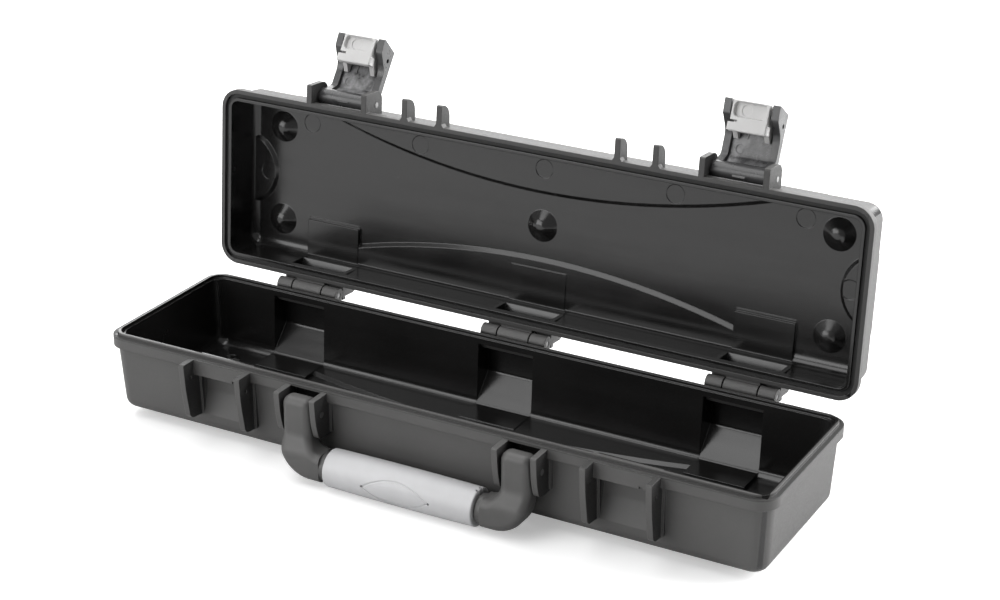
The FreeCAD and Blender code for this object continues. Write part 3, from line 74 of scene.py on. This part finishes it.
# Noise scales per metre, bevel radii and bump heights in metres
FINE_GRAIN = 2600.0
GRAIN = 2200.0
PITS = 900.0
CASE_EDGE = 0.0006
CASE_WEAR = 0.0008
SMALL_EDGE = 0.0004
CASE_BUMP = 0.0002
FINE_BUMP = 0.0001

# Light: name, place, size and power of each lamp, and how bright the background is by kind of ray
LAMPS = (("overhead", (-0.45, -0.1, 1.35), (1.9, 1.0), 18.0),
         ("behind_right", (1.1, 0.85, 0.7), (1.3, 1.0), 42.0),
         ("backdrop", (-0.3, 1.5, 0.8), (2.2, 0.9), 30.0),
         ("left_front", (-0.8, -1.3, 0.6), (1.4, 1.0), 17.0))
LAMP_AIM = Vector((0.0, 0.0, 0.05))
SKY_CAMERA = 1.0
SKY_GLOSSY = 0.45
SKY_DIFFUSE = 0.12

# The floor's own glow for the camera, near the part and where it turns white
FLOOR_HALF = 3.0
FLOOR_NEAR = 0.8
FLOOR_FAR = 1.6
FLOOR_GLOW = 0.35

# The photograph's viewpoint: angles in degrees, then metres, then the lens as a share of the sensor's width
CAMERA_ANGLES = (28.84, 23.45, 0.26)
CAMERA_TARGET = Vector((0.02209, 0.0, 0.09905))
CAMERA_DISTANCE = 1.17609
CAMERA_LENS_SHARE = 2.24801
CAMERA_CLIP = 0.01


def scaled(color, share):
    """A colour made lighter or darker, never past white."""
    return tuple(min(1.0, share * part) for part in color)


class Shader:
    """A material under construction, with short calls for the nodes that the finishes share."""

    def __init__(self, name):
        self.material = bpy.data.materials.new(name)
        self.material.use_nodes = True
        self.nodes = self.material.node_tree.nodes
        self.links = self.material.node_tree.links
        self.surface = self.nodes["Principled BSDF"]

    def node(self, kind, **settings):
        """A new node with its settings."""
        made = self.nodes.new(kind)
        for key, setting in settings.items():
            setattr(made, key, setting)
        return made

    def feed(self, socket, source):
        """Links a socket to another, or sets its value."""
        if isinstance(source, bpy.types.NodeSocket):
            self.links.new(source, socket)
        else:
            socket.default_value = source

    def math(self, operation, *values):
        """The result of one math node."""
        made = self.node("ShaderNodeMath", operation=operation)
        for socket, source in zip(made.inputs, values):
            self.feed(socket, source)
        return made.outputs[0]

    def place(self):
        """The surface point in the row frame at rest, whatever the pose."""
        return self.node("ShaderNodeTexCoord").outputs["Object"]

    def facing(self):
        """The surface's direction in the row frame at rest, which moves with the body."""
        return self.node("ShaderNodeTexCoord").outputs["Normal"]

    def parts(self, vector):
        """The X, Y and Z of a vector."""
        made = self.node("ShaderNodeSeparateXYZ")
        self.feed(made.inputs[0], vector)
        return made.outputs

    def closed(self, vector, centre):
        """A place or a direction on the open lid, turned to where it is on the closed one."""
        turned = self.node("ShaderNodeVectorRotate", rotation_type="AXIS_ANGLE")
        self.feed(turned.inputs["Vector"], vector)
        turned.inputs["Center"].default_value = centre
        turned.inputs["Axis"].default_value = (1.0, 0.0, 0.0)
        turned.inputs["Angle"].default_value = OPEN_ANGLE
        return turned.outputs[0]

    def noise(self, vector, scale, detail=3.0, roughness=0.5):
        """A noise value from 0 to 1."""
        made = self.node("ShaderNodeTexNoise")
        self.feed(made.inputs["Vector"], vector)
        made.inputs["Scale"].default_value = scale
        made.inputs["Detail"].default_value = detail
        made.inputs["Roughness"].default_value = roughness
        return made.outputs[0]

    def streaks(self, vector, squeeze, scale):
        """A noise value drawn out along the axes whose squeeze is small."""
        made = self.node("ShaderNodeVectorMath", operation="MULTIPLY")
        self.feed(made.inputs[0], vector)
        made.inputs[1].default_value = squeeze
        return self.noise(made.outputs[0], scale, 3.0, 0.6)

    def specks(self, vector, scale, size):
        """1 in scattered round dots, and 0 between them."""
        made = self.node("ShaderNodeTexVoronoi")
        self.feed(made.inputs["Vector"], vector)
        made.inputs["Scale"].default_value = scale
        chosen = self.spread(self.parts(made.outputs["Color"])[0], 0.72, 0.74)
        return self.math("MULTIPLY", self.spread(made.outputs["Distance"], size, 0.6 * size), chosen)

    def spread(self, value, low, high, out_low=0.0, out_high=1.0):
        """A value stretched from one range to another, and kept inside it."""
        made = self.node("ShaderNodeMapRange")
        for socket, source in zip(made.inputs, (value, low, high, out_low, out_high)):
            self.feed(socket, source)
        return made.outputs[0]

    def blend(self, share, first, second):
        """A colour between two colours."""
        made = self.node("ShaderNodeMix", data_type="RGBA")
        self.feed(made.inputs["Factor"], share)
        for name, source in (("A", first), ("B", second)):
            socket = [item for item in made.inputs if item.name == name and item.type == "RGBA"][0]
            self.feed(socket, (*source, 1.0) if isinstance(source, tuple) else source)
        return [item for item in made.outputs if item.type == "RGBA"][0]

    def edges(self, radius):
        """A normal that rounds the sharp edges by a radius in metres."""
        made = self.node("ShaderNodeBevel", samples=6)
        made.inputs["Radius"].default_value = radius
        return made.outputs[0]

    def bump(self, height, distance, strength, normal):
        """A normal bent by a height field."""
        made = self.node("ShaderNodeBump")
        self.feed(made.inputs["Height"], height)
        made.inputs["Distance"].default_value = distance
        self.feed(made.inputs["Strength"], strength)
        self.feed(made.inputs["Normal"], normal)
        return made.outputs[0]

    def finish(self, color, roughness, normal, **settings):
        """Sets the surface and returns the material."""
        self.feed(self.surface.inputs["Base Color"], (*color, 1.0) if isinstance(color, tuple) else color)
        self.feed(self.surface.inputs["Roughness"], roughness)
        self.feed(self.surface.inputs["Normal"], normal)
        for key, setting in settings.items():
            self.surface.inputs[key].default_value = setting
        return self.material


def worn_edges(shader, radius):
    """How near a point is to a sharp edge, from 0 to 1."""
    rounded = shader.edges(radius)
    geometry = shader.node("ShaderNodeNewGeometry")
    cross = shader.node("ShaderNodeVectorMath", operation="DOT_PRODUCT")
    shader.feed(cross.inputs[0], rounded)
    shader.feed(cross.inputs[1], geometry.outputs["Normal"])
    return shader.spread(cross.outputs["Value"], 0.995, 0.90)


def inside_mask(shader, place, facing, shell):
    """1 on the cavity's surfaces and 0 outside, by the walls' middle surface and which way a floor faces."""
    x, y, z = shader.parts(place)
    up = shell["up"]
    rise = shader.math("MULTIPLY", shader.parts(facing)[2], up)
    level = shader.math("GREATER_THAN", shader.math("ABSOLUTE", rise), LEVEL_SHARE)
    far_x = shader.math("ABSOLUTE", x)
    drop = shader.math("MULTIPLY", shader.math("SUBTRACT", shell["flange_level"], z), up * shell["draft"])
    near_x = shader.math("SUBTRACT", far_x, shader.math("SUBTRACT", HALF_LENGTH - shell["wall_middle"], drop))
    from_catch = shader.math("ABSOLUTE", shader.math("SUBTRACT", far_x, CATCH_PLACE))
    recessed = shader.math("MULTIPLY", shader.math("LESS_THAN", from_catch, CATCH_HALF),
                           shader.math("LESS_THAN", y, 0.0))
    drop = shader.math("ADD", drop, shader.math("MULTIPLY", recessed, shell["catch_inset"]))
    near_y = shader.math("SUBTRACT", shader.math("ABSOLUTE", y),
                         shader.math("SUBTRACT", HALF_WIDTH - shell["wall_middle"], drop))
    depth = shader.math("MULTIPLY", shader.math("SUBTRACT", shell["floor_level"], z), up)
    upright = shader.math("MULTIPLY", depth, shader.math("SUBTRACT", 1.0, level))
    depth = shader.math("SUBTRACT", upright, shader.math("MULTIPLY", rise, level))
    outside = shader.math("MAXIMUM", shader.math("MAXIMUM", near_x, near_y), depth)
    from_hinge = shader.math("ABSOLUTE", shader.math("SUBTRACT", far_x, HINGE_PLACE))
    from_hinge = shader.math("MINIMUM", far_x, from_hinge)
    pocket = shader.math("MULTIPLY", shader.math("LESS_THAN", from_hinge, POCKET_HALF),
                         shader.math("MULTIPLY", shader.math("GREATER_THAN", y, 0.0),
                                     shader.math("LESS_THAN", y, POCKET_BACK)))
    below = shader.math("MULTIPLY", shader.math("SUBTRACT", z, shell["pocket_level"]), up)
    pocket = shader.math("MULTIPLY", pocket, shader.math("MULTIPLY", shader.math("LESS_THAN", below, 0.0),
                                                         shader.math("LESS_THAN", depth, 0.0)))
    return shader.math("MAXIMUM", shader.spread(outside, SEAM, -SEAM), pocket)


def side_shade_mask(shader, place):
    """1 on the side faces of the front's fins and handle plates, where painted shade darkens them."""
    x, y, _ = shader.parts(place)
    geometry = shader.node("ShaderNodeNewGeometry")
    facing = shader.math("ABSOLUTE", shader.parts(geometry.outputs["True Normal"])[0])
    ahead = shader.math("MULTIPLY", shader.math("LESS_THAN", y, SIDE_SHADE_FRONT),
                        shader.math("LESS_THAN", shader.math("ABSOLUTE", x), SIDE_SHADE_END))
    return shader.math("MULTIPLY", shader.spread(facing, 0.9, 0.95), ahead)


def case_plastic(name, closed_place, shell):
    """Dark moulding compound: finely textured outside and smooth and glossy inside, with painted shade
    darkening the cavity, the side faces of the front's fins and plates and a thin band at the rim.
    """
    shader = Shader(name)
    place, facing = shader.place(), shader.facing()
    if closed_place:
        place, facing = shader.closed(place, HINGE), shader.closed(facing, (0.0, 0.0, 0.0))
    inside = inside_mask(shader, place, facing, shell)
    grain = shader.noise(place, FINE_GRAIN, 2.0, 0.6)
    pits = shader.noise(place, PITS, 3.0, 0.6)
    clouds = shader.noise(place, 14.0, 4.0, 0.55)
    texture = shader.math("ADD", shader.math("MULTIPLY", grain, 0.6), shader.math("MULTIPLY", pits, 0.4))
    wear = worn_edges(shader, CASE_WEAR)
    outer = shader.blend(shader.spread(clouds, 0.35, 0.7), CASE_DARK, scaled(CASE_DARK, 1.25))
    outer = shader.blend(shader.math("MULTIPLY", wear, 0.5), outer, CASE_WORN)
    # Painted shade: the cavity's surfaces are coloured far darker than the outside
    inner = shader.blend(shader.spread(clouds, 0.3, 0.75), PAINTED_SHADE, scaled(PAINTED_SHADE, 1.5))
    color = shader.blend(inside, outer, inner)
    # Painted shade on the side faces of the front's fins and handle plates, outside the cavity
    painted_side_shade = shader.math("MULTIPLY", side_shade_mask(shader, place), shader.math("SUBTRACT", 1.0, inside))
    color = shader.blend(shader.math("MULTIPLY", painted_side_shade, 0.85), color, PAINTED_SHADE)
    # Painted shade in a thin band at the rim's level, where the lid meets the base
    level = shader.math("ABSOLUTE", shader.math("SUBTRACT", shader.parts(place)[2], RIM_LEVEL))
    color = shader.blend(shader.spread(level, 0.0010, 0.0004, 0.0, 0.6), color, PAINTED_SHADE)
    color = shader.blend(shader.math("MULTIPLY", shader.specks(place, 75.0, 0.022), 0.35), color, DUST)
    outer_rough = shader.spread(pits, 0.3, 0.7, 0.46, 0.58)
    flow = shader.streaks(place, (0.12, 1.0, 1.0), 90.0)
    inner_rough = shader.math("ADD", shader.spread(clouds, 0.3, 0.7, 0.13, 0.21),
                              shader.spread(flow, 0.35, 0.65, 0.0, 0.07))
    rough = shader.math("ADD", shader.math("MULTIPLY", outer_rough, shader.math("SUBTRACT", 1.0, inside)),
                        shader.math("MULTIPLY", inner_rough, inside))
    strength = shader.spread(inside, 0.0, 1.0, 0.55, 0.06)
    normal = shader.bump(texture, CASE_BUMP, strength, shader.edges(CASE_EDGE))
    return shader.finish(color, rough, normal)


def smooth_plastic(name, dark, light, rough_low, rough_high, edge, grain_strength):
    """Plain moulded plastic with faint flow clouds, paler edges and a little grain."""
    shader = Shader(name)
    place = shader.place()
    clouds = shader.noise(place, 60.0, 4.0, 0.55)
    grain = shader.noise(place, GRAIN, 2.0, 0.6)
    wear = worn_edges(shader, edge)
    color = shader.blend(shader.spread(clouds, 0.3, 0.7), dark, light)
    color = shader.blend(shader.math("MULTIPLY", wear, 0.35), color, scaled(light, 1.5))
    rough = shader.spread(clouds, 0.3, 0.7, rough_low, rough_high)
    normal = shader.bump(grain, FINE_BUMP, grain_strength, shader.edges(edge))
    return shader.finish(color, rough, normal)


def plate_mask(shader, place):
    """1 on the inner face of a lever's plate and 0 on its arms, its barrel and its outer face."""
    x, y, z = shader.parts(place)
    _, axle_y, axle_z = JOINTS["latch_left_flip"]["pos_m"]
    from_axle = shader.math("ADD", shader.math("POWER", shader.math("SUBTRACT", y, axle_y), 2.0),
                            shader.math("POWER", shader.math("SUBTRACT", z, axle_z), 2.0))
    across = shader.math("ABSOLUTE", x)
    across = shader.math("ABSOLUTE", shader.math("SUBTRACT", across, CATCH_PLACE))
    plate = shader.math("MULTIPLY", shader.spread(across, PLATE_HALF, PLATE_HALF - 3.0 * SEAM),
                        shader.math("GREATER_THAN", from_axle, BARREL_REACH ** 2))
    return shader.math("MULTIPLY", plate, shader.math("LESS_THAN", shader.parts(shader.facing())[1], -0.1))


def lever_plastic():
    """Glossy dark plastic; pale patches on the plate's front face are partly smudges where fingers and the
    hook slide and partly a painted reflection.
    """
    shader = Shader("lever_plastic")
    place = shader.place()
    smudge = shader.noise(place, 130.0, 5.0, 0.62)
    grain = shader.noise(place, GRAIN, 2.0, 0.6)
    wear = worn_edges(shader, SMALL_EDGE)
    smear_and_sheen_streaks = shader.streaks(place, (1.0, 0.45, 0.45), 230.0)
    smudge_and_sheen = shader.math("MULTIPLY", shader.spread(smudge, 0.40, 0.60, 0.15, 1.0),
                         shader.spread(smear_and_sheen_streaks, 0.3, 0.55, 0.4, 1.0))
    plate = plate_mask(shader, place)
    arms = shader.blend(shader.spread(smudge, 0.3, 0.7), LEVER_DARK, scaled(LEVER_DARK, 1.3))
    # Pale patches on the plate: partly smudges, partly a painted reflection
    color = shader.blend(shader.math("MULTIPLY", smudge_and_sheen, plate), arms, LEVER_SMUDGE_AND_SHEEN)
    color = shader.blend(shader.math("MULTIPLY", wear, 0.35), color, scaled(LEVER_DARK, 3.0))
    rough = shader.spread(smudge, 0.35, 0.65, 0.24, 0.42)
    texture = shader.math("ADD", shader.math("MULTIPLY", grain, 0.3), smudge)
    normal = shader.bump(texture, CASE_BUMP, 0.25, shader.edges(SMALL_EDGE))
    return shader.finish(color, rough, normal)


def pin_metal(name, dark, light):
    """Drawn steel wire with fine scratches round the pin."""
    shader = Shader(name)
    place = shader.place()
    lines = shader.node("ShaderNodeTexWave", wave_type="BANDS", bands_direction="X")
    shader.feed(lines.inputs["Vector"], place)
    lines.inputs["Scale"].default_value = 1500.0
    lines.inputs["Distortion"].default_value = 4.0
    smudge = shader.noise(place, 400.0, 3.0)
    color = shader.blend(smudge, dark, light)
    rough = shader.spread(smudge, 0.3, 0.7, 0.34, 0.5)
    normal = shader.bump(lines.outputs[0], 0.00005, 0.15, shader.edges(0.0003))
    return shader.finish(color, rough, normal, Metallic=1.0)


def seal_rubber():
    """Matte black rubber with a dusty bloom."""
    shader = Shader("seal_rubber")
    place = shader.place()
    bloom = shader.noise(place, 120.0, 5.0, 0.65)
    color = shader.blend(shader.spread(bloom, 0.4, 0.8), RUBBER_DARK, RUBBER_BLOOM)
    rough = shader.spread(bloom, 0.3, 0.7, 0.6, 0.8)
    normal = shader.bump(shader.noise(place, 1800.0, 2.0), FINE_BUMP, 0.3, shader.edges(SMALL_EDGE / 2.0))
    return shader.finish(color, rough, normal)


def dress_nodes():
    """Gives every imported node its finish."""
    base = case_plastic("base_plastic", False, BASE)
    lid = case_plastic("lid_plastic", True, LID)
    lever = lever_plastic()
    handle = smooth_plastic("handle_plastic", CASE_DARK, scaled(CASE_DARK, 1.3), 0.45, 0.55, CASE_EDGE, 0.5)
    pull = smooth_plastic("pull_plastic", PULL_GREY, scaled(PULL_GREY, 1.1), 0.38, 0.5, SMALL_EDGE, 0.1)
    grip = smooth_plastic("grip_plastic", GRIP_GREY, scaled(GRIP_GREY, 1.1), 0.42, 0.52, CASE_EDGE, 0.2)
    metal = pin_metal("blackened_metal", (0.16, 0.16, 0.16), (0.26, 0.26, 0.26))
    bright = pin_metal("pin_metal", (0.20, 0.20, 0.20), (0.32, 0.32, 0.32))
    rubber = seal_rubber()
    finishes = {"base_shell": base, "lid_shell": lid, "lid_seal": rubber, "handle_frame": handle,
                "grip_sleeve": grip}
    prefixes = {"latch_lever": lever, "latch_hook": pull, "hinge_pin": metal, "latch_pin_left": metal,
                "latch_pin_right": bright, "hook_pin": bright, "handle_pin": metal, "hook_spring": bright}
    for name, node in frame["nodes"].items():
        finish = finishes.get(name)
        for prefix, material in prefixes.items():
            if name.startswith(prefix):
                finish = material
        for slot in node.material_slots:
            slot.material = finish


def area_light(name, place, size, power):
    """A soft white rectangular lamp that faces the part."""
    data = bpy.data.lights.new(name, "AREA")
    data.shape = "RECTANGLE"
    data.size, data.size_y = size
    data.energy = power
    lamp = bpy.data.objects.new(name, data)
    lamp.location = place
    lamp.rotation_euler = (LAMP_AIM - Vector(place)).to_track_quat("-Z", "Y").to_euler()
    bpy.context.scene.collection.objects.link(lamp)


def set_light():
    """Soft studio light: overhead, the key from behind right, a bright backdrop and a fill from the left."""
    for lamp in LAMPS:
        area_light(*lamp)
    world = bpy.data.worlds.new("studio")
    world.use_nodes = True
    tree = world.node_tree
    background = tree.nodes["Background"]
    background.inputs["Color"].default_value = WHITE
    path = tree.nodes.new("ShaderNodeLightPath")
    seen = tree.nodes.new("ShaderNodeMapRange")
    seen.inputs["To Min"].default_value = SKY_GLOSSY
    seen.inputs["To Max"].default_value = SKY_CAMERA
    spread = tree.nodes.new("ShaderNodeMapRange")
    spread.inputs["To Max"].default_value = SKY_DIFFUSE
    tree.links.new(path.outputs["Is Camera Ray"], seen.inputs["Value"])
    tree.links.new(path.outputs["Is Diffuse Ray"], spread.inputs["Value"])
    tree.links.new(seen.outputs[0], spread.inputs["To Min"])
    tree.links.new(spread.outputs[0], background.inputs["Strength"])
    bpy.context.scene.world = world


def set_floor():
    """A plain pale floor that turns white with distance, like the background."""
    mesh = bpy.data.meshes.new("floor")
    corners = [(x * FLOOR_HALF, y * FLOOR_HALF, 0.0) for x, y in ((-1, -1), (1, -1), (1, 1), (-1, 1))]
    mesh.from_pydata(corners, [], [(0, 1, 2, 3)])
    floor = bpy.data.objects.new("floor", mesh)
    bpy.context.scene.collection.objects.link(floor)
    shader = Shader("floor_paper")
    tone = shader.noise(shader.place(), 8.0, 4.0)
    color = shader.blend(tone, PAPER, PAPER_LIGHT)
    path = shader.node("ShaderNodeLightPath")
    color = shader.blend(path.outputs["Is Diffuse Ray"], color, PAPER_BOUNCE)
    fibre = shader.bump(shader.noise(shader.place(), PITS), FINE_BUMP, 0.1, shader.edges(SMALL_EDGE / 4.0))
    mesh.materials.append(shader.finish(color, 0.8, fibre))
    away = shader.node("ShaderNodeVectorMath", operation="LENGTH")
    shader.feed(away.inputs[0], shader.place())
    far = shader.spread(away.outputs["Value"], FLOOR_NEAR, FLOOR_FAR, FLOOR_GLOW, 1.0)
    glow = shader.math("MULTIPLY", path.outputs["Is Camera Ray"], far)
    shader.surface.inputs["Emission Color"].default_value = WHITE
    shader.feed(shader.surface.inputs["Emission Strength"], glow)


def set_camera():
    """The photograph's viewpoint, fitted to the corners of the rim, the lid and the hinge line."""
    azimuth, elevation, roll = (math.radians(angle) for angle in CAMERA_ANGLES)
    back = Vector((math.sin(azimuth) * math.cos(elevation), -math.cos(azimuth) * math.cos(elevation),
                   math.sin(elevation)))
    level_right = Vector((math.cos(azimuth), math.sin(azimuth), 0.0))
    level_up = back.cross(level_right)
    right = math.cos(roll) * level_right + math.sin(roll) * level_up
    up = math.cos(roll) * level_up - math.sin(roll) * level_right
    data = bpy.data.cameras.new("camera")
    data.sensor_fit = "HORIZONTAL"
    data.lens = data.sensor_width * CAMERA_LENS_SHARE
    data.clip_start = CAMERA_CLIP
    camera = bpy.data.objects.new("camera", data)
    bpy.context.scene.collection.objects.link(camera)
    turn = Matrix((right, up, back)).transposed().to_4x4()
    camera.matrix_world = Matrix.Translation(CAMERA_TARGET + CAMERA_DISTANCE * back) @ turn
    bpy.context.scene.camera = camera


set_camera()
dress_nodes()
set_light()
set_floor()
bpy.context.scene.view_settings.view_transform = "Standard"
